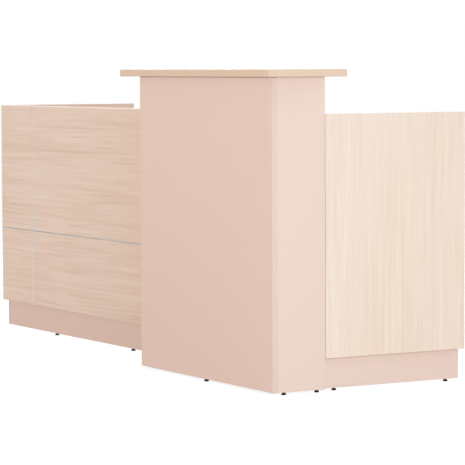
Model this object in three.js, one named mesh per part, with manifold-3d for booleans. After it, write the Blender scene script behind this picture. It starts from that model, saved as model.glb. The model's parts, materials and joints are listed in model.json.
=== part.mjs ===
// Reception desk: a low wood-clad desk with a tall transaction column at its right front.
// Millimetres, +Z up. The desk is drawn with x = 0 at its left end, y = 0 on the face of the
// low front panel (the column stands in front of it) and z = 0 on the floor.
import * as THREE from 'three';
import { mergeVertices } from 'three/addons/utils/BufferGeometryUtils.js';
import Module from 'manifold-3d';

const wasm = await Module();
wasm.setup();

// Overall sizes
const LENGTH = 2600;
const LEFT_DEPTH = 635;
const RIGHT_DEPTH = 580;
const COUNTER_HEIGHT = 1100;

// Boards and the gaps between them
const BOARD = 18;
const THICK_BOARD = 25;
const WOOD_EDGE_RADIUS = 2;
const PINK_EDGE_RADIUS = 1;
const EDGE_STEPS = 3;
const JOINT_GAP = 0.2;
const COLUMN_SEAM = 0.5;

// Low part: feet, plinth and cladding, one above the other
const FOOT_HEIGHT = 9;
const PLINTH_HEIGHT = 105;
const PANEL_HEIGHT = 835;
const LEG_REAR_INSET = 15;

// Column and its counter
const COLUMN_WIDTH = 940;
const COLUMN_DEPTH = 210;
const COUNTER_SIDE_OVERHANG = 60;
const COUNTER_FRONT_OVERHANG = 50;
const COUNTER_REAR_OVERHANG = 50;

// Worktop on the staff side and what carries it
const WORKTOP_HEIGHT = 745;
const WORKTOP_DEPTH = 545;
const MIDDLE_SUPPORT_DEPTH = 400;
const CLEAT_WIDTH = 22;
const CLEAT_HEIGHT = 30;
const CLEAT_END_SPACE = 60;
const BRACKET_LEG = 40;
const BRACKET_LENGTH = 60;
const BRACKET_STEEL = 2.5;
const BRACKET_BEND_RADIUS = 2;
const BRACKET_HOLE_RADIUS = 2.6;
const BRACKET_HOLE_SPACING = 32;

// Aluminium T-strips pressed into grooves in the front panel
const INLAY_HEIGHT = 426;
const INLAY_FROM_LEFT = 300;
const INLAY_FACE = 5;
const INLAY_HEAD = 1.2;
const INLAY_WEB = 1.6;
const INLAY_WEB_DEPTH = 6;
const INLAY_PROUD = 0.3;
const INLAY_TUCK = 20;
const GROOVE_CLEARANCE = 0.2;

// Levelling feet: a round pad and a threaded stud with a hexagon to turn it by
const PAD_RADIUS = 8.5;
const PAD_TOP_RADIUS = 6.8;
const PAD_RIM = 3;
const PAD_HEIGHT = 6;
const PAD_CHAMFER = 0.6;
const PAD_FLOOR = 2;
const STUD_RADIUS = 3;
const STUD_REACH = 27;
const STUD_CHAMFER = 0.8;
const HEXAGON_ACROSS_FLATS = 10;
const HEXAGON_SIDES = 6;
const FOOT_CLEARANCE = 0.3;
const COLUMN_FOOT_INSET = 30;
const LEG_FOOT_INSET = 50;
const FRONT_FOOT_FIRST = 435;
const FRONT_FOOT_PITCH = 675;
const FRONT_FOOT_COUNT = 3;

// Cable grommet in the worktop: a flanged ring with a cap that turns in it
const GROMMET_HOLE_RADIUS = 30;
const GROMMET_WALL = 2;
const GROMMET_FLANGE = 5;
const GROMMET_FLANGE_HEIGHT = 2.5;
const GROMMET_FLANGE_EDGE = 0.8;
const GROMMET_TUBE = 18;
const GROMMET_LEDGE = 2.2;
const GROMMET_CLEARANCE = 0.3;
const GROMMET_FROM_FRONT = 90;
const CAP_SLOT_WIDTH = 18;
const CAP_SLOT_DEPTH = 16;

// Facets round a full turn
const HOLE_SEGMENTS = 12;
const ROUND_SEGMENTS = 24;
const RING_SEGMENTS = 40;

// Heights
const PANEL_BOTTOM = FOOT_HEIGHT + PLINTH_HEIGHT;
const PANEL_TOP = PANEL_BOTTOM + PANEL_HEIGHT;
const COUNTER_UNDERSIDE = COUNTER_HEIGHT - THICK_BOARD;
const COLUMN_TOP = COUNTER_UNDERSIDE - JOINT_GAP;
const WORKTOP_UNDERSIDE = WORKTOP_HEIGHT - THICK_BOARD;
const SUPPORT_TOP = WORKTOP_UNDERSIDE - JOINT_GAP;

// Left to right: cladding, leg, bays, leg, cladding
const LEFT_LEG_OUTER = BOARD + JOINT_GAP;
const LEFT_LEG_INNER = LEFT_LEG_OUTER + BOARD;
const RIGHT_LEG_OUTER = LENGTH - BOARD - JOINT_GAP;
const RIGHT_LEG_INNER = RIGHT_LEG_OUTER - BOARD;
const COLUMN_LEFT = LENGTH - COLUMN_WIDTH;
const COLUMN_INNER_LEFT = COLUMN_LEFT + BOARD + JOINT_GAP;
const COLUMN_INNER_RIGHT = LENGTH - BOARD - JOINT_GAP;
const MIDDLE_SUPPORT_LEFT = COLUMN_LEFT - BOARD / 2;
const MIDDLE_SUPPORT_RIGHT = COLUMN_LEFT + BOARD / 2;

// Front to back
const COLUMN_FRONT = -COLUMN_DEPTH;
const COLUMN_BACK = -COLUMN_SEAM;
const COLUMN_INNER_FRONT = COLUMN_FRONT + BOARD + JOINT_GAP;
const COLUMN_INNER_BACK = COLUMN_BACK - BOARD - JOINT_GAP;
const BASE_FRONT = BOARD + JOINT_GAP;
const BASE_BACK = BASE_FRONT + BOARD;
const LEFT_LEG_REAR = LEFT_DEPTH - LEG_REAR_INSET;
const RIGHT_LEG_REAR = RIGHT_DEPTH - LEG_REAR_INSET;
const WORKTOP_FRONT = BOARD + JOINT_GAP;
const WORKTOP_REAR = WORKTOP_FRONT + WORKTOP_DEPTH;

// Grommet place and radii
const GROMMET_X = (LEFT_LEG_INNER + MIDDLE_SUPPORT_LEFT) / 2;
const GROMMET_Y = WORKTOP_FRONT + GROMMET_FROM_FRONT;
const GROMMET_OUTER = GROMMET_HOLE_RADIUS - GROMMET_CLEARANCE;
const GROMMET_INNER = GROMMET_OUTER - GROMMET_WALL;
const CAP_RADIUS = GROMMET_INNER - GROMMET_CLEARANCE;

// Materials
const pink = new THREE.MeshStandardMaterial({ color: 0xe6c9bb, roughness: 0.55, metalness: 0 });
const wood = new THREE.MeshStandardMaterial({ color: 0xe6cdb6, roughness: 0.5, metalness: 0 });
const aluminium = new THREE.MeshStandardMaterial({ color: 0xc4c2bf, roughness: 0.35, metalness: 1 });
const steel = new THREE.MeshStandardMaterial({ color: 0xa9abad, roughness: 0.4, metalness: 1 });
const blackPlastic = new THREE.MeshStandardMaterial({ color: 0x1c1b1b, roughness: 0.6, metalness: 0 });

const desk = new THREE.Group();

// Closed three.js geometry to a solid that can be cut and joined
function toSolid(geometry) {
  const bare = geometry.clone();
  bare.deleteAttribute('normal');
  bare.deleteAttribute('uv');
  const merged = mergeVertices(bare);
  const vertProperties = merged.attributes.position.array;
  const triVerts = Uint32Array.from(merged.index.array);
  return new wasm.Manifold(new wasm.Mesh({ numProp: 3, vertProperties, triVerts }));
}

function toGeometry(solid) {
  const mesh = solid.getMesh();
  const geometry = new THREE.BufferGeometry();
  geometry.setAttribute('position', new THREE.BufferAttribute(mesh.vertProperties, 3));
  geometry.setIndex(new THREE.BufferAttribute(mesh.triVerts, 1));
  const flat = geometry.toNonIndexed();
  flat.computeVertexNormals();
  return flat;
}

function subtract(geometry, tools) {
  const cut = (solid, tool) => solid.subtract(toSolid(tool));
  return toGeometry(tools.reduce(cut, toSolid(geometry)));
}

function addPiece(name, material, geometry, position) {
  const piece = new THREE.Mesh(geometry, material);
  piece.name = name;
  piece.position.copy(position);
  desk.add(piece);
}

// Axes across the face of a board and through its thickness, by the way the board faces
const BOARD_AXES = {
  x: ['y', 'z', 'x'],
  y: ['z', 'x', 'y'],
  z: ['x', 'y', 'z'],
};

const UNIT = {
  x: new THREE.Vector3(1, 0, 0),
  y: new THREE.Vector3(0, 1, 0),
  z: new THREE.Vector3(0, 0, 1),
};

const middle = (span) => (span[0] + span[1]) / 2;
const width = (span) => span[1] - span[0];

// Board centred on the origin, with the edges round both faces rounded as edge banding is
function boardGeometry(spans, facing, radius) {
  const [across, along, through] = BOARD_AXES[facing];
  const halfAcross = width(spans[across]) / 2 - radius;
  const halfAlong = width(spans[along]) / 2 - radius;
  const core = width(spans[through]) - 2 * radius;
  const outline = new THREE.Shape();
  outline.moveTo(-halfAcross, -halfAlong);
  outline.lineTo(halfAcross, -halfAlong);
  outline.lineTo(halfAcross, halfAlong);
  outline.lineTo(-halfAcross, halfAlong);
  outline.closePath();
  const geometry = new THREE.ExtrudeGeometry(outline, {
    depth: core,
    bevelThickness: radius,
    bevelSize: radius,
    bevelSegments: EDGE_STEPS,
  });
  geometry.translate(0, 0, -core / 2);
  return geometry.applyMatrix4(
    new THREE.Matrix4().makeBasis(UNIT[across], UNIT[along], UNIT[through])
  );
}

// Board that fills the three spans, less the cutters, which are placed in desk coordinates
function addBoard(name, material, facing, spans, cutters = []) {
  const radius = material === wood ? WOOD_EDGE_RADIUS : PINK_EDGE_RADIUS;
  const centre = new THREE.Vector3(middle(spans.x), middle(spans.y), middle(spans.z));
  const blank = boardGeometry(spans, facing, radius);
  const tools = cutters.map((cutter) => cutter.clone().translate(-centre.x, -centre.y, -centre.z));
  addPiece(name, material, tools.length ? subtract(blank, tools) : blank, centre);
}

// Round bar upright on the floor point x, y
function uprightCylinder(radius, bottom, top, segments, x, y) {
  const geometry = new THREE.CylinderGeometry(radius, radius, top - bottom, segments);
  geometry.rotateX(Math.PI / 2);
  return geometry.translate(x, y, (bottom + top) / 2);
}

// Solid turned about the vertical axis from a profile of radius and height
function turned(profile, segments) {
  const points = profile.map(([radius, height]) => new THREE.Vector2(radius, height));
  const geometry = new THREE.LatheGeometry(points, segments);
  return geometry.rotateX(Math.PI / 2);
}

// Places of the levelling feet, each under the middle of the board that it is screwed into
const columnMiddle = COLUMN_LEFT + COLUMN_WIDTH / 2;
const columnLeftBoard = COLUMN_LEFT + BOARD / 2;
const columnRightBoard = LENGTH - BOARD / 2;
const columnFootFront = COLUMN_INNER_FRONT + COLUMN_FOOT_INSET;
const columnFootRear = COLUMN_BACK - COLUMN_FOOT_INSET;
const leftLegBoard = LEFT_LEG_OUTER + BOARD / 2;
const rightLegBoard = RIGHT_LEG_OUTER - BOARD / 2;
const frontBoard = BASE_FRONT + BOARD / 2;
const middleSupportRear = BASE_BACK + JOINT_GAP + MIDDLE_SUPPORT_DEPTH;

const feet = [
  { name: 'column_front', board: 'column_front_panel', x: columnMiddle, y: COLUMN_FRONT + BOARD / 2 },
  { name: 'column_left_front', board: 'column_left_panel', x: columnLeftBoard, y: columnFootFront },
  { name: 'column_left_rear', board: 'column_left_panel', x: columnLeftBoard, y: columnFootRear },
  { name: 'column_right_front', board: 'column_right_panel', x: columnRightBoard, y: columnFootFront },
  { name: 'column_right_rear', board: 'column_right_panel', x: columnRightBoard, y: columnFootRear },
  { name: 'left_front', board: 'left_leg_panel', x: leftLegBoard, y: BASE_FRONT + LEG_FOOT_INSET },
  { name: 'left_rear', board: 'left_leg_panel', x: leftLegBoard, y: LEFT_LEG_REAR - LEG_FOOT_INSET },
  { name: 'right_front', board: 'right_leg_panel', x: rightLegBoard, y: LEG_FOOT_INSET },
  { name: 'right_rear', board: 'right_leg_panel', x: rightLegBoard, y: RIGHT_LEG_REAR - LEG_FOOT_INSET },
  { name: 'middle', board: 'middle_support_panel', x: COLUMN_LEFT, y: middleSupportRear - LEG_FOOT_INSET },
];
for (let i = 0; i < FRONT_FOOT_COUNT; i += 1) {
  const x = LEFT_LEG_INNER + FRONT_FOOT_FIRST + i * FRONT_FOOT_PITCH;
  feet.push({ name: `front_${i + 1}`, board: 'front_base_panel', x, y: frontBoard });
}

// Holes that take the studs of the feet under one board
function footHoles(board) {
  const bottom = FOOT_HEIGHT - STUD_REACH;
  const top = FOOT_HEIGHT + STUD_REACH + FOOT_CLEARANCE;
  const radius = STUD_RADIUS + FOOT_CLEARANCE;
  const hole = (foot) => uprightCylinder(radius, bottom, top, ROUND_SEGMENTS, foot.x, foot.y);
  return feet.filter((foot) => foot.board === board).map(hole);
}

// T-strip section across its width and into the panel; grown by the clearance it cuts the groove
function stripSection(clearance) {
  const face = INLAY_FACE / 2 + clearance;
  const web = INLAY_WEB / 2 + clearance;
  const shoulder = INLAY_HEAD - INLAY_PROUD + clearance;
  const tip = INLAY_HEAD - INLAY_PROUD + INLAY_WEB_DEPTH + clearance;
  const section = new THREE.Shape();
  section.moveTo(-face, -INLAY_PROUD);
  section.lineTo(face, -INLAY_PROUD);
  section.lineTo(face, shoulder);
  section.lineTo(web, shoulder);
  section.lineTo(web, tip);
  section.lineTo(-web, tip);
  section.lineTo(-web, shoulder);
  section.lineTo(-face, shoulder);
  section.closePath();
  return section;
}

function stripGeometry(from, to, clearance) {
  const bar = { depth: to - from, bevelEnabled: false };
  return new THREE.ExtrudeGeometry(stripSection(clearance), bar).translate(0, 0, from);
}

function uprightStrip(from, to, clearance) {
  return stripGeometry(from, to, clearance).translate(INLAY_FROM_LEFT, 0, 0);
}

function levelStrip(from, to, clearance) {
  const turn = new THREE.Matrix4().makeBasis(UNIT.z.clone().negate(), UNIT.y, UNIT.x);
  return stripGeometry(from, to, clearance).applyMatrix4(turn).translate(0, 0, INLAY_HEIGHT);
}

// Inlay strips: the level one runs through, the upright one stops at it
const atOrigin = new THREE.Vector3();
const crossing = INLAY_FACE / 2 + GROOVE_CLEARANCE;
const stripLeft = WOOD_EDGE_RADIUS;
const stripRight = COLUMN_LEFT + INLAY_TUCK;
const stripBottom = PANEL_BOTTOM + WOOD_EDGE_RADIUS;
const stripTop = PANEL_TOP - WOOD_EDGE_RADIUS;
addPiece('inlay_strip_level', aluminium, levelStrip(stripLeft, stripRight, 0), atOrigin);
addPiece('inlay_strip_upper', aluminium, uprightStrip(INLAY_HEIGHT + crossing, stripTop, 0), atOrigin);
addPiece('inlay_strip_lower', aluminium, uprightStrip(stripBottom, INLAY_HEIGHT - crossing, 0), atOrigin);

const grooves = [
  levelStrip(-BOARD, stripRight + GROOVE_CLEARANCE, GROOVE_CLEARANCE),
  uprightStrip(PANEL_BOTTOM - BOARD, PANEL_TOP + BOARD, GROOVE_CLEARANCE),
];

// Wood cladding of the low desk
addBoard('front_panel', wood, 'y', {
  x: [0, RIGHT_LEG_INNER - JOINT_GAP],
  y: [0, BOARD],
  z: [PANEL_BOTTOM, PANEL_TOP],
}, grooves);

addBoard('left_end_panel', wood, 'x', {
  x: [0, BOARD],
  y: [BOARD + JOINT_GAP, LEFT_DEPTH],
  z: [PANEL_BOTTOM, PANEL_TOP],
});

addBoard('right_side_panel', wood, 'x', {
  x: [LENGTH - BOARD, LENGTH],
  y: [0, RIGHT_DEPTH],
  z: [PANEL_BOTTOM, PANEL_TOP],
});

// Pink carcass behind the cladding; its lowest part shows as the plinth
addBoard('front_base_panel', pink, 'y', {
  x: [LEFT_LEG_INNER + JOINT_GAP, RIGHT_LEG_INNER - JOINT_GAP],
  y: [BASE_FRONT, BASE_BACK],
  z: [FOOT_HEIGHT, SUPPORT_TOP],
}, footHoles('front_base_panel'));

addBoard('left_leg_panel', pink, 'x', {
  x: [LEFT_LEG_OUTER, LEFT_LEG_INNER],
  y: [BASE_FRONT, LEFT_LEG_REAR],
  z: [FOOT_HEIGHT, PANEL_TOP],
}, footHoles('left_leg_panel'));

addBoard('right_leg_panel', pink, 'x', {
  x: [RIGHT_LEG_INNER, RIGHT_LEG_OUTER],
  y: [0, RIGHT_LEG_REAR],
  z: [FOOT_HEIGHT, PANEL_TOP],
}, footHoles('right_leg_panel'));

addBoard('middle_support_panel', pink, 'x', {
  x: [MIDDLE_SUPPORT_LEFT, MIDDLE_SUPPORT_RIGHT],
  y: [BASE_BACK + JOINT_GAP, middleSupportRear],
  z: [FOOT_HEIGHT, SUPPORT_TOP],
}, footHoles('middle_support_panel'));

// Worktop with the hole for the grommet
const grommetHole = uprightCylinder(
  GROMMET_HOLE_RADIUS,
  WORKTOP_UNDERSIDE - THICK_BOARD,
  WORKTOP_HEIGHT + THICK_BOARD,
  RING_SEGMENTS,
  GROMMET_X,
  GROMMET_Y
);
addBoard('worktop', wood, 'z', {
  x: [LEFT_LEG_INNER + JOINT_GAP, RIGHT_LEG_INNER - JOINT_GAP],
  y: [WORKTOP_FRONT, WORKTOP_REAR],
  z: [WORKTOP_UNDERSIDE, WORKTOP_HEIGHT],
}, [grommetHole]);

// Cleats on the legs under the ends of the worktop
const cleatLength = [BASE_BACK + CLEAT_END_SPACE, WORKTOP_REAR - CLEAT_END_SPACE];
const cleatHeight = [SUPPORT_TOP - CLEAT_HEIGHT, SUPPORT_TOP];
addBoard('worktop_cleat_left', pink, 'x', {
  x: [LEFT_LEG_INNER + JOINT_GAP, LEFT_LEG_INNER + JOINT_GAP + CLEAT_WIDTH],
  y: cleatLength,
  z: cleatHeight,
});
addBoard('worktop_cleat_right', pink, 'x', {
  x: [RIGHT_LEG_INNER - JOINT_GAP - CLEAT_WIDTH, RIGHT_LEG_INNER - JOINT_GAP],
  y: cleatLength,
  z: cleatHeight,
});

// Bent steel angle with two screw holes in each leg, its corner at the origin
function bracketGeometry() {
  const outerBend = BRACKET_STEEL + BRACKET_BEND_RADIUS;
  const section = new THREE.Shape();
  section.moveTo(0, -BRACKET_LEG);
  section.lineTo(BRACKET_STEEL, -BRACKET_LEG);
  section.lineTo(BRACKET_STEEL, -outerBend);
  section.absarc(outerBend, -outerBend, BRACKET_BEND_RADIUS, Math.PI, Math.PI / 2, true);
  section.lineTo(BRACKET_LEG, -BRACKET_STEEL);
  section.lineTo(BRACKET_LEG, 0);
  section.lineTo(outerBend, 0);
  section.absarc(outerBend, -outerBend, outerBend, Math.PI / 2, Math.PI, false);
  section.closePath();
  const bar = { depth: BRACKET_LENGTH, bevelEnabled: false, curveSegments: EDGE_STEPS };
  const angle = new THREE.ExtrudeGeometry(section, bar).translate(0, 0, -BRACKET_LENGTH / 2);
  const standing = new THREE.Matrix4().makeBasis(UNIT.y, UNIT.z, UNIT.x);
  angle.applyMatrix4(standing);
  const holeCentre = (BRACKET_LEG + outerBend) / 2;
  const drillLength = 4 * BRACKET_STEEL;
  const drill = new THREE.CylinderGeometry(
    BRACKET_HOLE_RADIUS, BRACKET_HOLE_RADIUS, drillLength, HOLE_SEGMENTS
  );
  const holes = [];
  for (const x of [-BRACKET_HOLE_SPACING / 2, BRACKET_HOLE_SPACING / 2]) {
    holes.push(drill.clone().translate(x, 0, -holeCentre));
    holes.push(drill.clone().rotateX(Math.PI / 2).translate(x, holeCentre, 0));
  }
  return subtract(angle, holes);
}

// Two brackets to each bay, between the base panel and the worktop
const bays = [
  { name: 'left', span: [LEFT_LEG_INNER, MIDDLE_SUPPORT_LEFT] },
  { name: 'right', span: [MIDDLE_SUPPORT_RIGHT, RIGHT_LEG_INNER] },
];
for (const bay of bays) {
  const quarter = width(bay.span) / 4;
  const places = [bay.span[0] + quarter, bay.span[1] - quarter];
  places.forEach((x, i) => {
    const corner = new THREE.Vector3(x, BASE_BACK + JOINT_GAP, SUPPORT_TOP);
    addPiece(`worktop_bracket_${bay.name}_${i + 1}`, steel, bracketGeometry(), corner);
  });
}

// Column: front board across the whole width, sides behind it, back and stiffeners between them
addBoard('column_front_panel', pink, 'y', {
  x: [COLUMN_LEFT, LENGTH],
  y: [COLUMN_FRONT, COLUMN_FRONT + BOARD],
  z: [FOOT_HEIGHT, COLUMN_TOP],
}, footHoles('column_front_panel'));

addBoard('column_left_panel', pink, 'x', {
  x: [COLUMN_LEFT, COLUMN_LEFT + BOARD],
  y: [COLUMN_INNER_FRONT, COLUMN_BACK],
  z: [FOOT_HEIGHT, COLUMN_TOP],
}, footHoles('column_left_panel'));

addBoard('column_right_panel', pink, 'x', {
  x: [LENGTH - BOARD, LENGTH],
  y: [COLUMN_INNER_FRONT, COLUMN_BACK],
  z: [FOOT_HEIGHT, COLUMN_TOP],
}, footHoles('column_right_panel'));

addBoard('column_back_panel', pink, 'y', {
  x: [COLUMN_INNER_LEFT, COLUMN_INNER_RIGHT],
  y: [COLUMN_BACK - BOARD, COLUMN_BACK],
  z: [FOOT_HEIGHT, COLUMN_TOP],
});

const columnInside = {
  x: [COLUMN_INNER_LEFT, COLUMN_INNER_RIGHT],
  y: [COLUMN_INNER_FRONT, COLUMN_INNER_BACK],
};
addBoard('column_top_board', pink, 'z', { ...columnInside, z: [COLUMN_TOP - BOARD, COLUMN_TOP] });
addBoard('column_bottom_board', pink, 'z', { ...columnInside, z: [FOOT_HEIGHT, FOOT_HEIGHT + BOARD] });

addBoard('counter_top', wood, 'z', {
  x: [COLUMN_LEFT - COUNTER_SIDE_OVERHANG, LENGTH + COUNTER_SIDE_OVERHANG],
  y: [COLUMN_FRONT - COUNTER_FRONT_OVERHANG, COUNTER_REAR_OVERHANG],
  z: [COUNTER_UNDERSIDE, COUNTER_HEIGHT],
});

// Foot pad with a blind socket for the end of the stud
function padGeometry() {
  const socket = STUD_RADIUS + FOOT_CLEARANCE;
  return turned([
    [0, 0],
    [PAD_RADIUS - PAD_CHAMFER, 0],
    [PAD_RADIUS, PAD_CHAMFER],
    [PAD_RADIUS, PAD_RIM],
    [PAD_TOP_RADIUS, PAD_HEIGHT],
    [socket, PAD_HEIGHT],
    [socket, PAD_FLOOR],
    [0, PAD_FLOOR],
  ], ROUND_SEGMENTS);
}

// Stud with its hexagon between the pad and the underside of the board
function studGeometry() {
  const bottom = PAD_FLOOR + FOOT_CLEARANCE;
  const top = FOOT_HEIGHT + STUD_REACH;
  const bar = turned([
    [0, bottom],
    [STUD_RADIUS, bottom],
    [STUD_RADIUS, top - STUD_CHAMFER],
    [STUD_RADIUS - STUD_CHAMFER, top],
    [0, top],
  ], ROUND_SEGMENTS);
  const cornerRadius = HEXAGON_ACROSS_FLATS / 2 / Math.cos(Math.PI / HEXAGON_SIDES);
  const under = PAD_HEIGHT + FOOT_CLEARANCE;
  const over = FOOT_HEIGHT - FOOT_CLEARANCE;
  const hexagon = uprightCylinder(cornerRadius, under, over, HEXAGON_SIDES, 0, 0);
  return toGeometry(toSolid(bar).add(toSolid(hexagon)));
}

for (const foot of feet) {
  const place = new THREE.Vector3(foot.x, foot.y, 0);
  addPiece(`foot_${foot.name}_pad`, blackPlastic, padGeometry(), place);
  addPiece(`foot_${foot.name}_stud`, steel, studGeometry(), place);
}

// Grommet ring: tube in the hole, flange on the worktop, ledge under the cap
const ledgeRadius = GROMMET_INNER - GROMMET_LEDGE;
const ringGeometry = turned([
  [GROMMET_INNER, -GROMMET_TUBE],
  [GROMMET_OUTER, -GROMMET_TUBE],
  [GROMMET_OUTER, GROMMET_CLEARANCE],
  [GROMMET_HOLE_RADIUS + GROMMET_FLANGE, GROMMET_CLEARANCE],
  [GROMMET_HOLE_RADIUS + GROMMET_FLANGE, GROMMET_FLANGE_EDGE],
  [GROMMET_HOLE_RADIUS, GROMMET_FLANGE_HEIGHT],
  [GROMMET_INNER, GROMMET_FLANGE_HEIGHT],
  [GROMMET_INNER, 0],
  [ledgeRadius, 0],
  [ledgeRadius, -GROMMET_WALL],
  [GROMMET_INNER, -GROMMET_WALL],
  [GROMMET_INNER, -GROMMET_TUBE],
], RING_SEGMENTS);
const grommetPlace = new THREE.Vector3(GROMMET_X, GROMMET_Y, WORKTOP_HEIGHT);
addPiece('cable_grommet_ring', blackPlastic, ringGeometry, grommetPlace);

// Grommet cap: a disc with a round-ended cable slot open to its rim, on the rear side
function capGeometry() {
  const slot = CAP_SLOT_WIDTH / 2;
  const rimAngle = Math.acos(slot / CAP_RADIUS);
  const slotEnd = CAP_RADIUS - CAP_SLOT_DEPTH;
  const outline = new THREE.Shape();
  outline.absarc(0, 0, CAP_RADIUS, Math.PI - rimAngle, rimAngle, false);
  outline.absarc(0, slotEnd + slot, slot, 0, Math.PI, true);
  outline.closePath();
  const thickness = GROMMET_FLANGE_HEIGHT - GROMMET_CLEARANCE;
  const disc = { depth: thickness, bevelEnabled: false, curveSegments: RING_SEGMENTS / 2 };
  return new THREE.ExtrudeGeometry(outline, disc).translate(0, 0, GROMMET_CLEARANCE);
}
addPiece('cable_grommet_cap', blackPlastic, capGeometry(), grommetPlace);

// Origin on the floor under the middle of the whole outline
const rightmost = LENGTH + COUNTER_SIDE_OVERHANG;
const foremost = COLUMN_FRONT - COUNTER_FRONT_OVERHANG;
desk.position.set(-rightmost / 2, -(foremost + LEFT_DEPTH) / 2, 0);

const part = new THREE.Group();
part.add(desk);

export default part;
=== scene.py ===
import json
import math

import bmesh
import bpy
from mathutils import Matrix, Vector

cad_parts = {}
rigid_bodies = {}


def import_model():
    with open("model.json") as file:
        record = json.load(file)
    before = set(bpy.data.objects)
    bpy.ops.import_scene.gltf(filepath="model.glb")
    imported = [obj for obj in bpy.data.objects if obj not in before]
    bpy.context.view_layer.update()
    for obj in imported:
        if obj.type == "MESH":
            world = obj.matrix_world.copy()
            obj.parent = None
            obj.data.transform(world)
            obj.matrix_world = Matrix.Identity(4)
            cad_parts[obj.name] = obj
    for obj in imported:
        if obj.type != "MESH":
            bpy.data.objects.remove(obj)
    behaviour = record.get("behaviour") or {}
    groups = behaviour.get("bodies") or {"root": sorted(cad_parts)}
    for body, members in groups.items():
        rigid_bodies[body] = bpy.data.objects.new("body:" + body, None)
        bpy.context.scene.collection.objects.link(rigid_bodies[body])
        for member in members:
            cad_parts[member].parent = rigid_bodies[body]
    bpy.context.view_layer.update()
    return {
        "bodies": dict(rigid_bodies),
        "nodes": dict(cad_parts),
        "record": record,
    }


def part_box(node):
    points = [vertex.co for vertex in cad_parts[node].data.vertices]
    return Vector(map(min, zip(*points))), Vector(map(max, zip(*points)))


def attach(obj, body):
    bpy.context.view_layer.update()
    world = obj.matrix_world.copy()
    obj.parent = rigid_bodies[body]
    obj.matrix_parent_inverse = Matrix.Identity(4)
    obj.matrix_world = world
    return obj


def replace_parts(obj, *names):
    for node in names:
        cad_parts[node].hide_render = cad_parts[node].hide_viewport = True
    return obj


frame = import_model()
nodes = frame["nodes"]

# Camera, found from the desk's straight edges in the picture
FRAME_PIXELS = 465
FOCAL_PIXELS = 2517.6
SENSOR_WIDTH = 36.0
CLIP_END = 200.0
CAMERA_PLACE = Vector((8.4999, -4.7443, 1.1140))
CAMERA_YAW = math.radians(59.894)
CAMERA_PITCH = math.radians(3.799)
CAMERA_ROLL = math.radians(-0.238)

# Light: the lamps are cool against the warmer ambient light, and the front lamp casts no shadow
AMBIENT = (0.588, 0.531, 0.480)
WHITE = (1.0, 1.0, 1.0)
LAMP_TARGET = Vector((0.2, -0.1, 0.55))
SIDE_LAMP = {
    "towards": (0.97, -0.2, 0.07),
    "distance": 5.0,
    "size": 1.6,
    "level": 0.422,
    "color": (0.793, 1.009, 1.198),
    "shadow": True,
}
FRONT_LAMP = {
    "towards": (-0.06, -0.95, 0.42),
    "distance": 6.5,
    "size": 3.5,
    "level": 0.47,
    "color": (0.92, 0.98, 1.10),
    "shadow": False,
}
REAR_LAMP = {
    "towards": (0.3, 0.85, 0.45),
    "distance": 6.0,
    "size": 4.0,
    "level": 0.5,
    "color": (0.85, 1.02, 1.13),
    "shadow": True,
}
LEFT_LAMP = {
    "towards": (-0.85, 0.5, 0.3),
    "distance": 6.0,
    "size": 2.5,
    "level": 0.25,
    "color": (0.92, 1.0, 1.08),
    "shadow": True,
}

# Floor: pale and warm for the light that it throws back, white where it is seen
FLOOR_HALF = 30.0
FLOOR_COLOUR = (0.60, 0.48, 0.36)
FLOOR_GLOW = (0.82, 0.82, 0.82)
FLOOR_SHADOW_COLOUR = (0.3, 0.3, 0.3)

# Colours, linear
PINK = (0.694, 0.523, 0.443)
PINK_CLOUD = (0.74, 0.54, 0.45)
PINK_LIGHT = (0.90, 0.74, 0.66)
PINK_WORN_AND_LIT = (0.88, 0.72, 0.64)
PINK_EDGE = (0.65, 0.488, 0.394)
WOOD_LIGHT = (0.755, 0.61, 0.515)
WOOD_WARM = (0.75, 0.585, 0.46)
# Painted shade: the low front's warmer, darker tone next to the column
WOOD_SHADED_END = (0.735, 0.565, 0.43)
WOOD_PALE = (0.84, 0.72, 0.645)
WOOD_LINE = (0.59, 0.42, 0.29)
WOOD_EDGE = (0.655, 0.483, 0.357)
# PANEL_EDGE is pale partly as painted highlight along the panels' rounded edges
PANEL_EDGE = (0.88, 0.80, 0.74)
# The level strip's grey is darkened as painted shade of its groove
SHADED_LEVEL_STRIP = (0.55, 0.50, 0.475)
UPRIGHT_STRIP = (0.76, 0.77, 0.76)
ZINC = (0.60, 0.61, 0.62)
DARK_STEEL = (0.02, 0.02, 0.022)
BLACK = (0.004, 0.004, 0.004)
DUST = (0.30, 0.28, 0.26)
SEAM_COLOUR = (0.35, 0.25, 0.19)
# Colour of the painted shade lines at the seams and under the counter
SHADE_LINE_COLOUR = (0.16, 0.10, 0.07)
# Colour of the painted highlight on the low front's top arris
PAINTED_HIGHLIGHT_COLOUR = (0.96, 0.91, 0.87)

# Noise: detail and roughness
SOFT = (1.0, 0.5)
EVEN = (2.0, 0.5)
GRAINY = (2.0, 0.6)
FINE = (3.0, 0.6)
FIBROUS = (3.0, 0.65)
DUSTY = (4.0, 0.7)

# Wood print: wavelengths along and over the grain, metres
BEND_WAVES = (0.9, 0.5)
PATCH_WAVES = (0.5, 0.25)
PITH_WAVES = (1.9, 1.2)
WOBBLE_WAVES = (0.35, 0.05)
RING_PATCH_WAVES = (0.6, 0.16)
BROAD_WAVES = (1.1, 0.036)
LINE_WAVES = (0.42, 0.010)
STROKE_WAVES = (0.38, 0.0048)
FIBRE_WAVES = (0.16, 0.0017)
PORE_WAVES = (0.012, 0.0008)

# Wood print: growth rings and bent grain, metres, and the pith's place as a share of the board's width
RING_SPACING = 0.017
RING_WOBBLE = 0.007
GRAIN_BEND = 0.02
PITH_NEAR = 0.02
PITH_FAR = 0.26
PITH_PLACE = 0.7

# Wood print: how strongly each layer shows
PATCH_SHARE = 0.4
RING_SHARE = 0.20
BROAD_DARK = 0.22
BROAD_PALE = 0.28
LINE_DARK = 0.26
LINE_PALE = 0.34
STROKE_DARK = 0.22
FIBRE_DARK = 0.14
PORE_DARK = 0.25
PORE_DEPTH = 0.6

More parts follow.
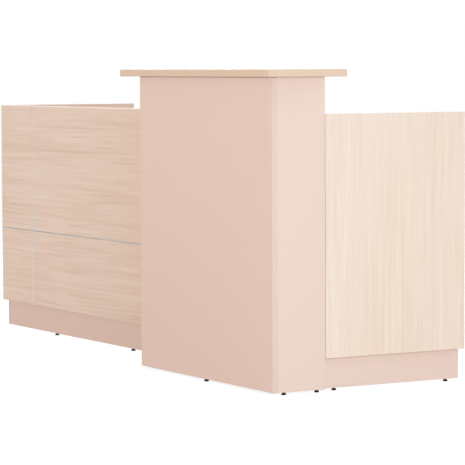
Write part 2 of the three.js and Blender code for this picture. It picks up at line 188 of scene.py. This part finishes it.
# Wood print: the values between which each layer fades in
PATCH_FADE = (0.35, 0.68)
RING_RISE = (0.1, 0.85)
RING_FALL = (0.85, 1.0)
RING_PATCH_FADE = (0.42, 0.62)
BROAD_DARK_FADE = (0.52, 0.75)
BROAD_PALE_FADE = (0.48, 0.25)
LINE_DARK_FADE = (0.52, 0.72)
LINE_PALE_FADE = (0.46, 0.25)
STROKE_FADE = (0.56, 0.72)
FIBRE_FADE = (0.45, 0.75)
PORE_FADE = (0.66, 0.74)

# Wood print: step from one board's seed to the next, roughness and shine
WOOD_SEED_STEP = 3.7
WOOD_ROUGHNESS = (0.40, 0.56)
WOOD_SHINE = 0.35

# Boards whose print differs: strength of the streaks and the rings, and, as painted shade, where along x the
# wood turns warmer and darker towards the column
STREAK_STRENGTH = {"front_panel": 1.5, "right_side_panel": 0.9}
RING_STRENGTH = {"front_panel": 0.24, "right_side_panel": 0.10}
SHADED_END = {"front_panel": (-0.5, 0.3)}

# Pink melamine
PINK_SEED_STEP = 1.3
CLOUD_SCALE = 3.5
CLOUD_SHARE = 0.10
PEBBLE_SCALE = 900.0
PEBBLE_SHARE = 0.08
PINK_ROUGHNESS = (0.44, 0.60)
PINK_SHINE = 0.4

# Edge banding: metres, and how strongly its streaks, its seam and its wear show; the pale wear along the
# arrises is also a painted highlight
BAND_THICKNESS = 0.0012
BAND_SEAM = 0.0003
BAND_STREAK_SCALE = 260.0
BAND_LENGTH_SCALE = 3.0
BAND_FADE = (0.4, 0.75)
BAND_DARK = 0.25
EDGE_NORMAL_FADE = (0.6, 0.95)
SEAM_SHARE = 0.16
WORN_AND_LIT_EDGE = 0.0016
WEAR_SCALE = 24.0
WEAR_FADE = (0.45, 0.7)
WEAR_AND_HIGHLIGHT_SHARE = 0.35

# Painted shade lines where a board's edge meets the next board, for the shade in the seams and the counter's
# shadow on the column: the board's edge as an axis and its end, the board that it meets, and the width in
# metres
SHADE_LINES = {
    "right_side_panel": ("y", "low", "column_right_panel", 0.0014),
    "column_right_panel": ("z", "high", "counter_top", 0.0014),
    "column_front_panel": ("z", "high", "counter_top", 0.0036),
    "column_left_panel": ("z", "high", "counter_top", 0.0014),
}
SHADE_LINE_SHARE = 0.75

# Painted highlight along the top arris of the low front, where its rounded edge would catch light from
# above: metres, and how strongly it shows
HIGHLIGHT_ARRIS_BOARD = "front_panel"
HIGHLIGHT_ARRIS_WIDTH = 0.0026
HIGHLIGHT_ARRIS_SHARE = 0.9

# Metals
BRUSH_SCALE = 700.0
BRUSH_LENGTH_SCALE = 6.0
BRUSH_FADE = (0.35, 0.7)
DARKER_METAL = 0.72
DULL_SCALE = 40.0
DULL_FADE = (0.5, 0.75)
DULL_SHARE = 0.3
STRIP_ROUGHNESS = (0.30, 0.46)
ZINC_ROUGHNESS = (0.28, 0.48)
DARK_STEEL_ROUGHNESS = (0.36, 0.56)

# Plastics
PLASTIC_SCALE = 1600.0
PLASTIC_LIGHTER = 1.5
PLASTIC_LIGHT_SHARE = 0.3
PLASTIC_ROUGHNESS = (0.42, 0.62)
DUST_SCALE = 120.0
DUST_FADE = (0.5, 0.8)
BLACK_SHINE = 0.25
BLACK_DUST = 0.02
COVER_SHINE = 0.4
COVER_DUST = 0.0

# Depth of the surface grain, metres
WOOD_GRAIN_DEPTH = 0.00006
PEBBLE_DEPTH = 0.00005
BRUSH_DEPTH = 0.00003
PLASTIC_GRAIN_DEPTH = 0.00004

# Screw feet, metres
STUD_RADIUS = 0.003
THREAD_PITCH = 0.001
THREAD_DEPTH = 0.00055
STUD_CHAMFER = 0.0008
HEXAGON_ACROSS_FLATS = 0.010
HEXAGON_BOTTOM = 0.0063
HEXAGON_TOP = 0.0087
HEXAGON_CHAMFER = 0.0003
STUD_SEGMENTS = 24
RINGS_PER_PITCH = 5
STUD_SHARP_DEGREES = 40

# Fasteners on the staff side, metres
BRACKET_STEEL = 0.0025
BRACKET_HOLE_PLACE = 0.02225
BRACKET_HOLE_SPACING = 0.032
SCREW_HEAD_RADIUS = 0.0045
SCREW_HEAD_HEIGHT = 0.0026
SCREW_DOME = 0.82
SCREW_CROSS_HALF_WIDTH = 0.0007
SCREW_CROSS_REACH = 0.0026
SCREW_CROSS_DEPTH = 0.0013
SCREW_CROSS_TAPER = 0.5
SCREW_RINGS = 12
SCREW_SEGMENTS = 48
COVER_RADIUS = 0.0065
COVER_HEIGHT = 0.0011
COVER_EDGE = 0.0005
COVER_EDGE_ROUND = 0.3
COVER_SEGMENTS = 32
COVER_FRONT_HEIGHTS = (0.20, 0.55)
COVER_LEG_HEIGHTS = (0.20, 0.55, 0.86)
COVER_LEG_FRONT = 0.0
COVER_LEG_BACK_MARGIN = 0.07
FASTENER_SHARES = (0.12, 0.5, 0.88)
FASTENER_SHARP_DEGREES = 35

AXES = {"x": 0, "y": 1, "z": 2}


# Camera

def make_camera():
    forward = Vector((-math.sin(CAMERA_YAW), math.cos(CAMERA_YAW), 0))
    right = Vector((math.cos(CAMERA_YAW), math.sin(CAMERA_YAW), 0))
    up = Vector((0, 0, 1))
    look = forward * math.cos(CAMERA_PITCH) - up * math.sin(CAMERA_PITCH)
    level_up = up * math.cos(CAMERA_PITCH) + forward * math.sin(CAMERA_PITCH)
    side = right * math.cos(CAMERA_ROLL) + level_up * math.sin(CAMERA_ROLL)
    top = level_up * math.cos(CAMERA_ROLL) - right * math.sin(CAMERA_ROLL)
    turn = Matrix((side, top, -look)).transposed()
    data = bpy.data.cameras.new("camera")
    data.sensor_fit = "HORIZONTAL"
    data.sensor_width = SENSOR_WIDTH
    data.lens = FOCAL_PIXELS / FRAME_PIXELS * SENSOR_WIDTH
    data.clip_end = CLIP_END
    camera = bpy.data.objects.new("camera", data)
    camera.matrix_world = Matrix.Translation(CAMERA_PLACE) @ turn.to_4x4()
    bpy.context.scene.collection.objects.link(camera)
    bpy.context.scene.camera = camera


# Node trees

def add_node(tree, kind, inputs=None, **settings):
    node = tree.nodes.new("ShaderNode" + kind)
    for name, value in settings.items():
        setattr(node, name, value)
    for name, value in (inputs or {}).items():
        if isinstance(value, bpy.types.NodeSocket):
            tree.links.new(value, node.inputs[name])
        else:
            node.inputs[name].default_value = value
    return node


def calculate(tree, operation, *values):
    node = add_node(tree, "Math", dict(enumerate(values)), operation=operation)
    return node.outputs[0]


def vector_calculate(tree, operation, *values):
    node = add_node(tree, "VectorMath", dict(enumerate(values)), operation=operation)
    return node.outputs[0]


def product(tree, first, second):
    return calculate(tree, "MULTIPLY", first, second)


def opposite(tree, share):
    return calculate(tree, "SUBTRACT", 1.0, share)


# Smooth rise from 0 at the start value to 1 at the end value
def step(tree, value, start, end):
    inputs = {"Value": value, "From Min": start, "From Max": end}
    node = add_node(tree, "MapRange", inputs, interpolation_type="SMOOTHSTEP")
    return node.outputs[0]


def rescale(tree, value, low, high):
    node = add_node(tree, "MapRange", {"Value": value, "To Min": low, "To Max": high})
    return node.outputs[0]


def mix(tree, amount, first, second):
    node = add_node(tree, "Mix", data_type="RGBA")
    for place, value in ((0, amount), (6, first), (7, second)):
        if isinstance(value, bpy.types.NodeSocket):
            tree.links.new(value, node.inputs[place])
        else:
            node.inputs[place].default_value = (*value, 1)
    return node.outputs[2]


def tint(tree, color, amount, share, second):
    return mix(tree, product(tree, amount, share), color, second)


def combine(tree, x, y, z):
    return add_node(tree, "CombineXYZ", {"X": x, "Y": y, "Z": z}).outputs[0]


def stretch(tree, place, scales):
    return combine(tree, *[product(tree, part, scale) for part, scale in zip(place, scales)])


def noise(tree, point, scale, character):
    detail, roughness = character
    inputs = {"Vector": point, "Scale": scale, "Detail": detail, "Roughness": roughness}
    return add_node(tree, "TexNoise", inputs).outputs[0]


# Noise drawn out along the grain
def drawn_noise(tree, along, over, waves, seed, character=EVEN):
    x = calculate(tree, "DIVIDE", along, waves[0])
    y = calculate(tree, "DIVIDE", over, waves[1])
    return noise(tree, combine(tree, x, y, seed), 1.0, character)


def new_material(name):
    material = bpy.data.materials.new(name)
    material.use_nodes = True
    material.node_tree.nodes.clear()
    return material, material.node_tree


def finish_surface(tree, color, roughness, height, depth, shine=0.5, metallic=0.0):
    bump = add_node(tree, "Bump", {"Height": height, "Distance": depth, "Strength": 1.0})
    inputs = {"Base Color": color, "Roughness": roughness, "Normal": bump.outputs[0]}
    inputs["Specular IOR Level"] = shine
    inputs["Metallic"] = metallic
    shader = add_node(tree, "BsdfPrincipled", inputs)
    add_node(tree, "OutputMaterial", {"Surface": shader.outputs[0]})


def place_of(tree):
    coordinates = add_node(tree, "TexCoord")
    split = add_node(tree, "SeparateXYZ", {"Vector": coordinates.outputs["Object"]})
    return coordinates, [split.outputs[i] for i in range(3)]


# Boards: their box, thinnest axis, width and length
def board_axes(name):
    low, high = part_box(name)
    spans = {axis: high[i] - low[i] for axis, i in AXES.items()}
    facing, across, grain = sorted(spans, key=spans.get)
    return low, high, facing, across, grain


# Distance from a point on a board to the board's nearest arris
def arris_distance(tree, point, low, high):
    centre = (Vector(low) + Vector(high)) / 2
    half = (Vector(high) - Vector(low)) / 2
    offset = vector_calculate(tree, "SUBTRACT", point, centre)
    away = vector_calculate(tree, "ABSOLUTE", offset)
    depth = vector_calculate(tree, "SUBTRACT", half, away)
    x, y, z = add_node(tree, "SeparateXYZ", {"Vector": depth}).outputs
    least = calculate(tree, "MINIMUM", calculate(tree, "MINIMUM", x, y), z)
    most = calculate(tree, "MAXIMUM", calculate(tree, "MAXIMUM", x, y), z)
    total = calculate(tree, "ADD", calculate(tree, "ADD", x, y), z)
    return calculate(tree, "SUBTRACT", calculate(tree, "SUBTRACT", total, least), most)


# How much a point lies on the banded edge of a board and not on its face
def edge_share(tree, coordinates, facing):
    normal = add_node(tree, "SeparateXYZ", {"Vector": coordinates.outputs["Normal"]})
    along = calculate(tree, "ABSOLUTE", normal.outputs[AXES[facing]])
    return opposite(tree, step(tree, along, *EDGE_NORMAL_FADE))


# Seam of the edge band, and slight wear near the arrises that is also a painted highlight on the rounded
# edges, on any board's colour
def edge_details(tree, color, point, low, high, wear_and_highlight_color):
    distance = arris_distance(tree, point, low, high)
    into_seam = step(tree, distance, BAND_THICKNESS - BAND_SEAM, BAND_THICKNESS)
    past_seam = step(tree, distance, BAND_THICKNESS, BAND_THICKNESS + BAND_SEAM)
    seam = calculate(tree, "SUBTRACT", into_seam, past_seam)
    color = tint(tree, color, seam, SEAM_SHARE, SEAM_COLOUR)
    rubbed = step(tree, noise(tree, point, WEAR_SCALE, FINE), *WEAR_FADE)
    # Paler patches near the arris: wear, and painted highlight on the rounded edge
    near = opposite(tree, step(tree, distance, 0.0, WORN_AND_LIT_EDGE))
    return tint(tree, color, product(tree, near, rubbed), WEAR_AND_HIGHLIGHT_SHARE, wear_and_highlight_color)


# Painted shade line where a board's edge meets the next board, up to the top of that board
def painted_shade_line(tree, color, place, name, low, high):
    if name not in SHADE_LINES:
        return color
    axis, end, neighbour, width = SHADE_LINES[name]
    i = AXES[axis]
    neighbour_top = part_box(neighbour)[1][2]
    ends = (place[i], low[i]) if end == "low" else (high[i], place[i])
    depth = calculate(tree, "SUBTRACT", *ends)
    near = opposite(tree, step(tree, depth, width / 2, width))
    below_top = step(tree, place[2], neighbour_top + width, neighbour_top)
    return tint(tree, color, product(tree, near, below_top), SHADE_LINE_SHARE, SHADE_LINE_COLOUR)


# Painted highlight: a pale line along a board's top arris
def painted_arris_highlight(tree, color, place, high):
    depth = calculate(tree, "SUBTRACT", high[2], place[2])
    near = opposite(tree, step(tree, depth, HIGHLIGHT_ARRIS_WIDTH / 2, HIGHLIGHT_ARRIS_WIDTH))
    return tint(tree, color, near, HIGHLIGHT_ARRIS_SHARE, PAINTED_HIGHLIGHT_COLOUR)


# Growth rings of a log cut lengthwise, where the distance from the cut to the pith changes slowly
def growth_rings(tree, along, over, middle, seed):
    pith_noise = drawn_noise(tree, along, over, PITH_WAVES, seed + 7, SOFT)
    pith = rescale(tree, pith_noise, PITH_NEAR, PITH_FAR)
    wobble_noise = drawn_noise(tree, along, over, WOBBLE_WAVES, seed + 2)
    wobble = rescale(tree, wobble_noise, -RING_WOBBLE, RING_WOBBLE)
    off_centre = calculate(tree, "SUBTRACT", over, middle)
    squares = calculate(tree, "ADD", product(tree, off_centre, off_centre), product(tree, pith, pith))
    radius = calculate(tree, "ADD", calculate(tree, "SQRT", squares), wobble)
    ring = calculate(tree, "FRACT", calculate(tree, "DIVIDE", radius, RING_SPACING))
    rise = step(tree, ring, *RING_RISE)
    fall = opposite(tree, step(tree, ring, *RING_FALL))
    shown_noise = drawn_noise(tree, along, over, RING_PATCH_WAVES, seed + 4)
    shown = step(tree, shown_noise, *RING_PATCH_FADE)
    return product(tree, product(tree, rise, fall), shown)


# Plain edge band of a wood-look board, with a few streaks along the edge; on the panels its pale colour is
# partly painted highlight on the rounded edges
def wood_band(tree, place, name, facing):
    scales = [BAND_LENGTH_SCALE, BAND_LENGTH_SCALE, BAND_LENGTH_SCALE]
    scales[AXES[facing]] = BAND_STREAK_SCALE
    streak = step(tree, noise(tree, stretch(tree, place, scales), 1.0, FINE), *BAND_FADE)
    edge_color = PANEL_EDGE if name.endswith("panel") else WOOD_EDGE
    return tint(tree, edge_color, streak, BAND_DARK, WOOD_LINE)


# Wood-look board: streaks, growth rings, fibres and pores along the grain, and a plainer edge band
def wood_material(name, seed):
    material, tree = new_material("light_wood_" + name)
    low, high, facing, across, grain = board_axes(name)
    coordinates, place = place_of(tree)
    along = place[AXES[grain]]
    straight_over = place[AXES[across]]
    middle = low[AXES[across]] + PITH_PLACE * (high[AXES[across]] - low[AXES[across]])
    bend_noise = drawn_noise(tree, along, straight_over, BEND_WAVES, seed)
    over = calculate(tree, "ADD", straight_over, rescale(tree, bend_noise, -GRAIN_BEND, GRAIN_BEND))

    patch = step(tree, drawn_noise(tree, along, over, PATCH_WAVES, seed + 1), *PATCH_FADE)
    rings = growth_rings(tree, along, over, middle, seed)
    broad = drawn_noise(tree, along, over, BROAD_WAVES, seed + 3, FINE)
    line = drawn_noise(tree, along, over, LINE_WAVES, seed + 5, FIBROUS)
    stroke = step(tree, drawn_noise(tree, along, over, STROKE_WAVES, seed + 9), *STROKE_FADE)
    fibre = drawn_noise(tree, along, over, FIBRE_WAVES, seed + 6, FIBROUS)
    pore = step(tree, drawn_noise(tree, along, over, PORE_WAVES, seed + 8, SOFT), *PORE_FADE)

    strength = STREAK_STRENGTH.get(name, 1.0)
    color = tint(tree, WOOD_LIGHT, patch, PATCH_SHARE, WOOD_WARM)
    # Painted shade: the low front turns warmer and darker towards the column
    if name in SHADED_END:
        color = mix(tree, step(tree, along, *SHADED_END[name]), color, WOOD_SHADED_END)
    color = tint(tree, color, rings, RING_STRENGTH.get(name, RING_SHARE), WOOD_LINE)
    color = tint(tree, color, step(tree, broad, *BROAD_DARK_FADE), BROAD_DARK * strength, WOOD_LINE)
    color = tint(tree, color, step(tree, broad, *BROAD_PALE_FADE), BROAD_PALE * strength, WOOD_PALE)
    color = tint(tree, color, step(tree, line, *LINE_DARK_FADE), LINE_DARK * strength, WOOD_LINE)
    color = tint(tree, color, step(tree, line, *LINE_PALE_FADE), LINE_PALE * strength, WOOD_PALE)
    color = tint(tree, color, stroke, STROKE_DARK * strength, WOOD_LINE)
    color = tint(tree, color, step(tree, fibre, *FIBRE_FADE), FIBRE_DARK, WOOD_LINE)
    color = tint(tree, color, pore, PORE_DARK, WOOD_LINE)

    band = wood_band(tree, place, name, facing)
    color = mix(tree, edge_share(tree, coordinates, facing), color, band)
    color = edge_details(tree, color, coordinates.outputs["Object"], low, high, WOOD_PALE)
    # Painted highlight along the low front's top arris
    if name == HIGHLIGHT_ARRIS_BOARD:
        color = painted_arris_highlight(tree, color, place, high)
    # Painted shade where the board meets its neighbour
    color = painted_shade_line(tree, color, place, name, low, high)
    roughness = rescale(tree, fibre, *WOOD_ROUGHNESS)
    height = calculate(tree, "SUBTRACT", fibre, product(tree, pore, PORE_DEPTH))
    finish_surface(tree, color, roughness, height, WOOD_GRAIN_DEPTH, WOOD_SHINE)
    return material


# Pink melamine: an even tone with a fine pebbled grain
def pink_material(name, seed):
    material, tree = new_material("pink_melamine_" + name)
    low, high, facing, _, _ = board_axes(name)
    coordinates, place = place_of(tree)
    point = coordinates.outputs["Object"]
    shifted = vector_calculate(tree, "ADD", point, (seed, seed, seed))
    cloud = noise(tree, shifted, CLOUD_SCALE, EVEN)
    pebble = noise(tree, point, PEBBLE_SCALE, GRAINY)
    color = mix(tree, edge_share(tree, coordinates, facing), PINK, PINK_EDGE)
    color = mix(tree, rescale(tree, cloud, 0.0, CLOUD_SHARE), color, PINK_CLOUD)
    color = mix(tree, rescale(tree, pebble, 0.0, PEBBLE_SHARE), color, PINK_LIGHT)
    color = edge_details(tree, color, point, low, high, PINK_WORN_AND_LIT)
    color = painted_shade_line(tree, color, place, name, low, high)
    roughness = rescale(tree, pebble, *PINK_ROUGHNESS)
    finish_surface(tree, color, roughness, pebble, PEBBLE_DEPTH, PINK_SHINE)
    return material


# Metal brushed along its grain axis, or evenly matt without one
def metal_material(name, color, grain, roughness_range):
    material, tree = new_material(name)
    _, place = place_of(tree)
    scales = [BRUSH_SCALE, BRUSH_SCALE, BRUSH_SCALE]
    if grain:
        scales[AXES[grain]] = BRUSH_LENGTH_SCALE
    brushed = noise(tree, stretch(tree, place, scales), 1.0, FINE)
    dull = step(tree, noise(tree, combine(tree, *place), DULL_SCALE, FINE), *DULL_FADE)
    darker = tuple(DARKER_METAL * part for part in color)
    tone = mix(tree, step(tree, brushed, *BRUSH_FADE), darker, color)
    tone = tint(tree, tone, dull, DULL_SHARE, darker)
    roughness = rescale(tree, brushed, *roughness_range)
    finish_surface(tree, tone, roughness, brushed, BRUSH_DEPTH, metallic=1.0)
    return material


# Moulded plastic with a fine spark-eroded grain and a little dust
def plastic_material(name, color, shine, dusty):
    material, tree = new_material(name)
    coordinates, _ = place_of(tree)
    point = coordinates.outputs["Object"]
    grain = noise(tree, point, PLASTIC_SCALE, GRAINY)
    dust = step(tree, noise(tree, point, DUST_SCALE, DUSTY), *DUST_FADE)
    lighter = tuple(min(1.0, PLASTIC_LIGHTER * part) for part in color)
    tone = mix(tree, rescale(tree, grain, 0.0, PLASTIC_LIGHT_SHARE), color, lighter)
    tone = tint(tree, tone, dust, dusty, DUST)
    roughness = rescale(tree, grain, *PLASTIC_ROUGHNESS)
    finish_surface(tree, tone, roughness, grain, PLASTIC_GRAIN_DEPTH, shine)
    return material


def dress(name, material):
    mesh = nodes[name].data
    mesh.materials.clear()
    mesh.materials.append(material)


# Materials of all solids, by the slots in the record; the seeds make each board's print its own
def dress_solids(zinc, dark_steel, black):
    slots = {entry["node"]: entry["material_slot"] for entry in frame["record"]["subparts"]}
    for seed, (name, slot) in enumerate(sorted(slots.items())):
        if slot == "wood_board":
            dress(name, wood_material(name, seed * WOOD_SEED_STEP))
        elif slot == "pink_board":
            dress(name, pink_material(name, seed * PINK_SEED_STEP))
        elif slot == "aluminium":
            # The level strip's darker grey is painted shade of its groove
            level = name == "inlay_strip_level"
            color, grain = (SHADED_LEVEL_STRIP, "x") if level else (UPRIGHT_STRIP, "z")
            dress(name, metal_material("brushed_" + name, color, grain, STRIP_ROUGHNESS))
        elif slot == "steel":
            dress(name, dark_steel if name.endswith("_stud") else zinc)
        else:
            dress(name, black)


# Meshes made of stacked rings about the vertical axis, closed at both ends
def ring_stack(name, rings, segments):
    mesh = bmesh.new()
    loops = []
    for height, radius_at in rings:
        loop = []
        for i in range(segments):
            angle = 2 * math.pi * i / segments
            radius = radius_at(angle, height)
            loop.append(mesh.verts.new((radius * math.cos(angle), radius * math.sin(angle), height)))
        loops.append(loop)
    for lower, upper in zip(loops, loops[1:]):
        for i in range(segments):
            j = (i + 1) % segments
            mesh.faces.new((lower[i], lower[j], upper[j], upper[i]))
    mesh.faces.new(list(reversed(loops[0])))
    mesh.faces.new(loops[-1])
    data = bpy.data.meshes.new(name)
    mesh.to_mesh(data)
    mesh.free()
    return data


def even(radius):
    return lambda angle, height: radius


def smooth(data, degrees):
    data.set_sharp_from_angle(angle=math.radians(degrees))
    for polygon in data.polygons:
        polygon.use_smooth = True


def add_piece(name, data, material, body):
    piece = bpy.data.objects.new(name, data)
    bpy.context.scene.collection.objects.link(piece)
    data.materials.append(material)
    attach(piece, body)
    return piece


# Threaded stud of a foot, with its hexagon
def stud_mesh(name, bottom, top):
    flat = HEXAGON_ACROSS_FLATS / 2

    def hexagon(angle, height):
        part = (angle + math.pi / 6) % (math.pi / 3) - math.pi / 6
        return flat / math.cos(part)

    def trimmed(angle, height):
        return min(hexagon(angle, height), flat + HEXAGON_CHAMFER)

    def thread(angle, height):
        turn = (height / THREAD_PITCH - angle / (2 * math.pi)) % 1.0
        crest = 1.0 - abs(2.0 * turn - 1.0)
        return STUD_RADIUS - THREAD_DEPTH * (1.0 - crest)

    rings = [
        (bottom, even(STUD_RADIUS - HEXAGON_CHAMFER)),
        (bottom + HEXAGON_CHAMFER, even(STUD_RADIUS)),
        (HEXAGON_BOTTOM, even(STUD_RADIUS)),
        (HEXAGON_BOTTOM, trimmed),
        (HEXAGON_BOTTOM + HEXAGON_CHAMFER, hexagon),
        (HEXAGON_TOP - HEXAGON_CHAMFER, hexagon),
        (HEXAGON_TOP, trimmed),
        (HEXAGON_TOP, even(STUD_RADIUS - THREAD_DEPTH)),
    ]
    thread_top = top - STUD_CHAMFER
    count = round((thread_top - HEXAGON_TOP) / THREAD_PITCH * RINGS_PER_PITCH)
    for i in range(1, count + 1):
        rings.append((HEXAGON_TOP + (thread_top - HEXAGON_TOP) * i / count, thread))
    rings.append((top, even(STUD_RADIUS - STUD_CHAMFER)))
    return ring_stack(name, rings, STUD_SEGMENTS)


# Threaded studs in place of the plain solids
def add_studs(dark_steel):
    for body in frame["bodies"]:
        if not body.endswith("_stud"):
            continue
        name = "threaded_stud_" + body.removeprefix("foot_").removesuffix("_stud")
        low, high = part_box(body)
        centre = Vector(((low[0] + high[0]) / 2, (low[1] + high[1]) / 2, 0))
        data = stud_mesh(name, low[2], high[2])
        data.transform(Matrix.Translation(centre))
        smooth(data, STUD_SHARP_DEGREES)
        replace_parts(add_piece(name, data, dark_steel, body), body)


# Domed screw head with a cross recess, its seat at the origin and its axis along +Z
def screw_mesh(name):
    mesh = bmesh.new()

    def surface(radius, angle):
        share = radius / SCREW_HEAD_RADIUS
        height = SCREW_HEAD_HEIGHT * math.sqrt(1.0 - SCREW_DOME * share * share)
        x, y = radius * math.cos(angle), radius * math.sin(angle)
        narrow, wide = sorted((abs(x), abs(y)))
        if narrow < SCREW_CROSS_HALF_WIDTH and wide < SCREW_CROSS_REACH:
            height -= SCREW_CROSS_DEPTH * (1.0 - SCREW_CROSS_TAPER * wide / SCREW_CROSS_REACH)
        return Vector((x, y, height))

    loops = []
    for ring in range(1, SCREW_RINGS + 1):
        radius = SCREW_HEAD_RADIUS * ring / SCREW_RINGS
        angles = [2 * math.pi * i / SCREW_SEGMENTS for i in range(SCREW_SEGMENTS)]
        loops.append([mesh.verts.new(surface(radius, angle)) for angle in angles])
    seat = [mesh.verts.new((corner.co.x, corner.co.y, 0)) for corner in loops[-1]]
    loops.append(seat)
    for inner, outer in zip(loops, loops[1:]):
        for i in range(SCREW_SEGMENTS):
            j = (i + 1) % SCREW_SEGMENTS
            mesh.faces.new((inner[i], outer[i], outer[j], inner[j]))
    mesh.faces.new(loops[0])
    mesh.faces.new(list(reversed(seat)))
    data = bpy.data.meshes.new(name)
    mesh.to_mesh(data)
    mesh.free()
    return data


# Flat round cover over a sunk screw
def cover_mesh(name):
    rounded = COVER_EDGE_ROUND * COVER_EDGE
    rings = [
        (0.0, even(COVER_RADIUS)),
        (COVER_HEIGHT - COVER_EDGE, even(COVER_RADIUS)),
        (COVER_HEIGHT - rounded, even(COVER_RADIUS - rounded)),
        (COVER_HEIGHT, even(COVER_RADIUS - COVER_EDGE)),
    ]
    return ring_stack(name, rings, COVER_SEGMENTS)


# One piece that holds copies of a mesh, each seated at a place and pointing along a direction
def add_copies(name, make, seats, material):
    joined = bmesh.new()
    for place, direction in seats:
        copy = make(name)
        turn = Vector(direction).to_track_quat("Z", "Y").to_matrix().to_4x4()
        copy.transform(Matrix.Translation(place) @ turn)
        joined.from_mesh(copy)
        bpy.data.meshes.remove(copy)
    data = bpy.data.meshes.new(name)
    joined.to_mesh(data)
    joined.free()
    smooth(data, FASTENER_SHARP_DEGREES)
    add_piece(name, data, material, "desk")


def add_bracket_screws(zinc):
    for bracket in [name for name in nodes if name.startswith("worktop_bracket_")]:
        low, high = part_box(bracket)
        middle = (low[0] + high[0]) / 2
        seats = []
        for x in (middle - BRACKET_HOLE_SPACING / 2, middle + BRACKET_HOLE_SPACING / 2):
            seats.append(((x, low[1] + BRACKET_STEEL, high[2] - BRACKET_HOLE_PLACE), (0, 1, 0)))
            seats.append(((x, low[1] + BRACKET_HOLE_PLACE, high[2] - BRACKET_STEEL), (0, 0, -1)))
        add_copies("screws_" + bracket.removeprefix("worktop_"), screw_mesh, seats, zinc)


def add_cleat_screws(zinc):
    for side, direction in (("left", (1, 0, 0)), ("right", (-1, 0, 0))):
        low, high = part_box("worktop_cleat_" + side)
        x = high[0] if side == "left" else low[0]
        z = (low[2] + high[2]) / 2
        seats = [((x, low[1] + share * (high[1] - low[1]), z), direction) for share in FASTENER_SHARES]
        add_copies("screws_cleat_" + side, screw_mesh, seats, zinc)


# Covers over the screws that hold the cladding, on the staff side of the base panel and the legs
def add_screw_covers(plastic):
    low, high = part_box("front_base_panel")
    support_low, support_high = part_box("middle_support_panel")
    support = (support_low[0] + support_high[0]) / 2
    seats = []
    for start, end in ((low[0], support), (support, high[0])):
        for share in FASTENER_SHARES:
            for z in COVER_FRONT_HEIGHTS:
                seats.append(((start + share * (end - start), high[1], z), (0, 1, 0)))
    add_copies("screw_covers_front", cover_mesh, seats, plastic)
    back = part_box("worktop")[1][1] - COVER_LEG_BACK_MARGIN
    for side, direction in (("left", (1, 0, 0)), ("right", (-1, 0, 0))):
        low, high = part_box(side + "_leg_panel")
        x = high[0] if side == "left" else low[0]
        seats = [((x, y, z), direction) for y in (COVER_LEG_FRONT, back) for z in COVER_LEG_HEIGHTS]
        add_copies("screw_covers_" + side, cover_mesh, seats, plastic)


# Floor, world and lamps

def seen_ray(tree):
    path = add_node(tree, "LightPath")
    direct = calculate(tree, "MAXIMUM", path.outputs["Is Camera Ray"], path.outputs["Is Glossy Ray"])
    return calculate(tree, "MAXIMUM", direct, path.outputs["Is Transmission Ray"])


def make_stage():
    mesh = bmesh.new()
    corners = [(-1, -1), (1, -1), (1, 1), (-1, 1)]
    mesh.faces.new([mesh.verts.new((FLOOR_HALF * x, FLOOR_HALF * y, 0)) for x, y in corners])
    data = bpy.data.meshes.new("floor")
    mesh.to_mesh(data)
    mesh.free()
    floor = bpy.data.objects.new("floor", data)
    bpy.context.scene.collection.objects.link(floor)
    material, tree = new_material("floor")
    plain = add_node(tree, "BsdfDiffuse", {"Color": (*FLOOR_COLOUR, 1)})
    shaded = add_node(tree, "BsdfDiffuse", {"Color": (*FLOOR_SHADOW_COLOUR, 1)})
    glow = add_node(tree, "Emission", {"Color": (*FLOOR_GLOW, 1), "Strength": 1.0})
    seen = add_node(tree, "AddShader", {0: shaded.outputs[0], 1: glow.outputs[0]})
    choice = add_node(tree, "MixShader", {0: seen_ray(tree), 1: plain.outputs[0], 2: seen.outputs[0]})
    add_node(tree, "OutputMaterial", {"Surface": choice.outputs[0]})
    data.materials.append(material)


def make_world():
    world = bpy.data.worlds.new("world")
    bpy.context.scene.world = world
    world.use_nodes = True
    tree = world.node_tree
    tree.nodes.clear()
    ambient = add_node(tree, "Background", {"Color": (*AMBIENT, 1), "Strength": 1.0})
    white = add_node(tree, "Background", {"Color": (*WHITE, 1), "Strength": 1.0})
    choice = add_node(tree, "MixShader", {0: seen_ray(tree), 1: ambient.outputs[0], 2: white.outputs[0]})
    add_node(tree, "OutputWorld", {"Surface": choice.outputs[0]})


# A soft square lamp; its level is the share of a colour that it lights on a face turned to it
def add_lamp(name, towards, distance, size, level, color, shadow):
    data = bpy.data.lights.new(name, "AREA")
    data.size = size
    data.energy = level * math.pi ** 2 * distance ** 2
    data.color = color
    data.use_shadow = shadow
    lamp = bpy.data.objects.new(name, data)
    direction = Vector(towards).normalized()
    lamp.location = LAMP_TARGET + direction * distance
    lamp.rotation_euler = direction.to_track_quat("Z", "Y").to_euler()
    lamp.visible_camera = False
    bpy.context.scene.collection.objects.link(lamp)


make_camera()
make_world()
make_stage()
add_lamp("side_lamp", **SIDE_LAMP)
add_lamp("front_lamp", **FRONT_LAMP)
add_lamp("rear_lamp", **REAR_LAMP)
add_lamp("left_lamp", **LEFT_LAMP)
bpy.context.scene.view_settings.view_transform = "Standard"

zinc = metal_material("zinc_plate", ZINC, None, ZINC_ROUGHNESS)
dark_steel = metal_material("dark_steel", DARK_STEEL, None, DARK_STEEL_ROUGHNESS)
black = plastic_material("black_plastic", BLACK, BLACK_SHINE, BLACK_DUST)
cover_pink = plastic_material("cover_pink", PINK, COVER_SHINE, COVER_DUST)
dress_solids(zinc, dark_steel, black)
add_studs(dark_steel)
add_bracket_screws(zinc)
add_cleat_screws(zinc)
add_screw_covers(cover_pink)
